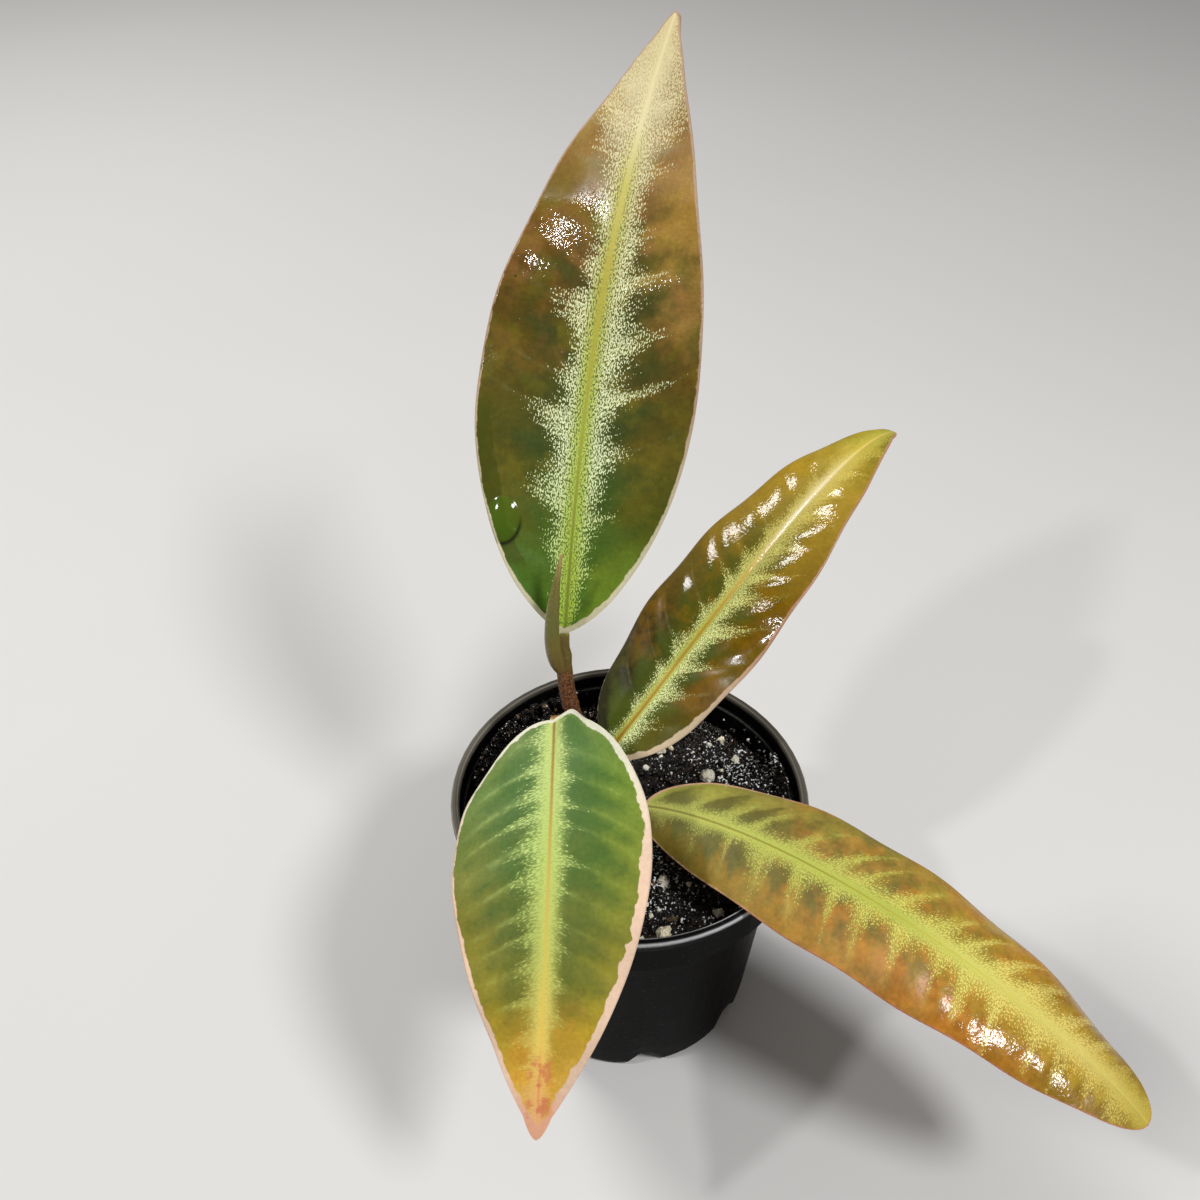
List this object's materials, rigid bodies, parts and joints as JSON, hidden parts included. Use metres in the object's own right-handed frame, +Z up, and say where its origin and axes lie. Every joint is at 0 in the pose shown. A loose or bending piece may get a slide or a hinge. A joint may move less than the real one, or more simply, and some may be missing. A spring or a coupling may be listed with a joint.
{
  "type": "potted labisia",
  "caption": "Young labisia plant with broad patterned leaves on a short stem, rooted in potting mix in a round nursery pot.",
  "frame": {"origin": "centre of the pot's underside, where it stands", "axes": "+Z up along the pot's axis, +X to the viewer's right, -Y towards the viewer, with the tall leaf at the back"},
  "size_m": [0.1556, 0.1743, 0.2326],
  "materials": {
    "pot_plastic": "satin",
    "potting_mix": "matte",
    "stem_bark": "matte",
    "leaf_green": "gloss",
    "leaf_bronze": "gloss"
  },
  "bodies": {
    "root": {"pot": "pot_plastic", "soil": "potting_mix", "stem": "stem_bark", "leaf_tall": "leaf_green", "leaf_front": "leaf_green", "leaf_back": "leaf_bronze", "leaf_low": "leaf_bronze", "leaf_spear": "leaf_green"}
  },
  "joints": []
}
